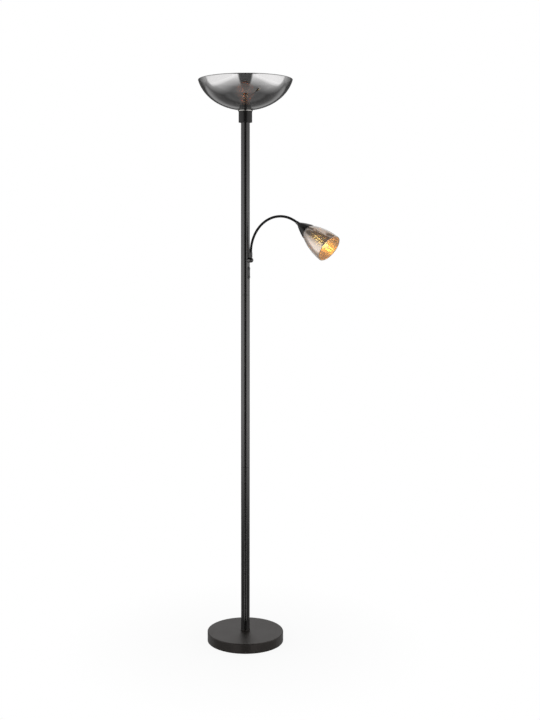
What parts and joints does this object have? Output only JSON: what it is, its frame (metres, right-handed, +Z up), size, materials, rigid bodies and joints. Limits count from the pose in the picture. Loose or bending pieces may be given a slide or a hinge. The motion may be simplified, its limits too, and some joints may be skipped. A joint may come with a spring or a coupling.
{
  "type": "torchiere floor lamp",
  "caption": "Uplighter floor lamp on a slim black pole, with a smoked glass bowl on top and a smaller glass shade on a flexible reading arm.",
  "frame": {"origin": "on the pole's axis, at the underside of the foot pad", "axes": "+Z up the pole; +X from the pole towards the reading arm, its swivel and the switch plate; -X is the rear, where the cable comes in"},
  "size_m": [0.4906, 0.3, 1.8],
  "materials": {
    "black_powder_coat": "satin black powder coat",
    "dark_nickel": "polished dark nickel plate",
    "flexible_hose": "satin black, closely ribbed",
    "smoked_glass": "smoked glass with a mirror coating that lets some light through",
    "foot_foam": "matt foam rubber",
    "soft_rubber": "matt",
    "cast_iron": "rough as cast",
    "zinc_steel": "zinc plated",
    "cable_jacket": "matt",
    "black_moulding": "satin",
    "black_button": "semi-gloss",
    "contact_brass": "stamped",
    "bulb_cap_metal": "rolled thread",
    "amber_glass": "amber tinted",
    "clear_glass": "clear",
    "filament_dim": "phosphor coated stick, lit low",
    "filament_lit": "phosphor coated stick, lit"
  },
  "bodies": {
    "stand": {"foot_pad": "foot_foam", "base_plate": "zinc_steel", "base_weight": "cast_iron", "base_cover": "black_powder_coat", "cable_bush": "soft_rubber", "base_nipple": "zinc_steel", "base_nut": "zinc_steel", "base_washer": "zinc_steel", "foot_ring": "black_powder_coat", "pole_lower": "black_powder_coat", "pole_middle": "black_powder_coat", "pole_upper": "black_powder_coat", "pole_inserts": "zinc_steel", "joint_nipples": "zinc_steel", "pole_cable": "cable_jacket", "bowl_cup": "black_powder_coat", "cup_nut": "zinc_steel", "bowl_ring": "dark_nickel", "bowl_gaskets": "soft_rubber", "bowl": "smoked_glass", "lampholder_body": "black_moulding", "lampholder_sleeve": "contact_brass", "lampholder_contact": "contact_brass", "shade_ring": "black_moulding", "upper_bulb_cap": "bulb_cap_metal", "upper_bulb_glass": "amber_glass", "upper_bulb_stem": "clear_glass", "upper_bulb_filaments": "filament_dim", "arm_boss": "black_powder_coat", "arm_bolt": "zinc_steel", "arm_nut": "zinc_steel", "swivel_washer": "zinc_steel", "switch_plate": "black_moulding", "switch_body": "black_moulding"},
    "swivel": {"swivel_head": "black_powder_coat", "neck_ferrule_lower": "black_powder_coat", "gooseneck_01": "flexible_hose"},
    "neck_link_02": {"gooseneck_02": "flexible_hose"},
    "neck_link_03": {"gooseneck_03": "flexible_hose"},
    "neck_link_04": {"gooseneck_04": "flexible_hose"},
    "neck_link_05": {"gooseneck_05": "flexible_hose"},
    "neck_link_06": {"gooseneck_06": "flexible_hose"},
    "neck_link_07": {"gooseneck_07": "flexible_hose"},
    "neck_link_08": {"gooseneck_08": "flexible_hose"},
    "neck_link_09": {"gooseneck_09": "flexible_hose"},
    "neck_link_10": {"gooseneck_10": "flexible_hose"},
    "head": {"gooseneck_11": "flexible_hose", "neck_ferrule_upper": "black_powder_coat", "head_cover": "black_powder_coat", "small_holder_body": "black_moulding", "small_holder_sleeve": "contact_brass", "small_holder_contact": "contact_brass", "reading_shade": "smoked_glass", "reading_shade_ring": "black_moulding", "reading_bulb_cap": "bulb_cap_metal", "reading_bulb_glass": "clear_glass", "reading_bulb_stem": "clear_glass", "reading_bulb_filaments": "filament_lit"},
    "button_upper": {"button_upper": "black_button"},
    "button_lower": {"button_lower": "black_button"}
  },
  "joints": [
    {"name": "arm_swivel", "type": "hinge", "parent": "stand", "child": "swivel", "pos_m": [0.022, 0, 1.228], "axis": [1, 0, 0], "range_deg": [-90, 90]},
    {"name": "neck_bend", "type": "hinge", "parent": "swivel", "child": "neck_link_02", "pos_m": [0.02418, 0, 1.27509], "axis": [0, 1, 0], "range_deg": [-14, 14]},
    {"name": "neck_sway", "type": "hinge", "parent": "neck_link_02", "child": "neck_link_03", "pos_m": [0.03064, 0, 1.29633], "axis": [0.9236, 0, -0.3834], "range_deg": [-14, 14]},
    {"name": "neck_bend_2", "type": "hinge", "parent": "neck_link_03", "child": "neck_link_04", "pos_m": [0.04112, 0, 1.31589], "axis": [0, 1, 0], "range_deg": [-14, 14]},
    {"name": "neck_sway_2", "type": "hinge", "parent": "neck_link_04", "child": "neck_link_05", "pos_m": [0.05522, 0, 1.33303], "axis": [0.706, 0, -0.7082], "range_deg": [-14, 14]},
    {"name": "neck_bend_3", "type": "hinge", "parent": "neck_link_05", "child": "neck_link_06", "pos_m": [0.07241, 0, 1.34708], "axis": [0, 1, 0], "range_deg": [-14, 14]},
    {"name": "neck_sway_3", "type": "hinge", "parent": "neck_link_06", "child": "neck_link_07", "pos_m": [0.09201, 0, 1.3575], "axis": [0.3805, 0, -0.9248], "range_deg": [-14, 14]},
    {"name": "neck_bend_4", "type": "hinge", "parent": "neck_link_07", "child": "neck_link_08", "pos_m": [0.11326, 0, 1.36389], "axis": [0, 1, 0], "range_deg": [-14, 14]},
    {"name": "neck_sway_4", "type": "hinge", "parent": "neck_link_08", "child": "neck_link_09", "pos_m": [0.13536, 0, 1.366], "axis": [-0.0032, 0, -1], "range_deg": [-14, 14]},
    {"name": "neck_bend_5", "type": "hinge", "parent": "neck_link_09", "child": "neck_link_10", "pos_m": [0.15744, 0, 1.36375], "axis": [0, 1, 0], "range_deg": [-14, 14]},
    {"name": "neck_sway_5", "type": "hinge", "parent": "neck_link_10", "child": "head", "pos_m": [0.17866, 0, 1.35723], "axis": [-0.3863, 0, -0.9224], "range_deg": [-14, 14]},
    {"name": "button_upper_press", "type": "slide", "parent": "stand", "child": "button_upper", "axis": [-1, 0, 0], "range_m": [0, 0.002], "stiffness_N_per_m": 900, "springref_m": -0.0015},
    {"name": "button_lower_press", "type": "slide", "parent": "stand", "child": "button_lower", "axis": [-1, 0, 0], "range_m": [0, 0.002], "stiffness_N_per_m": 900, "springref_m": -0.0015}
  ],
  "couplings": [
    {"joint": "neck_bend_2", "follows": "neck_bend", "ratio": 1},
    {"joint": "neck_sway_2", "follows": "neck_sway", "ratio": 1},
    {"joint": "neck_bend_3", "follows": "neck_bend", "ratio": 1},
    {"joint": "neck_sway_3", "follows": "neck_sway", "ratio": 1},
    {"joint": "neck_bend_4", "follows": "neck_bend", "ratio": 1},
    {"joint": "neck_sway_4", "follows": "neck_sway", "ratio": 1},
    {"joint": "neck_bend_5", "follows": "neck_bend", "ratio": 1},
    {"joint": "neck_sway_5", "follows": "neck_sway", "ratio": 1}
  ]
}
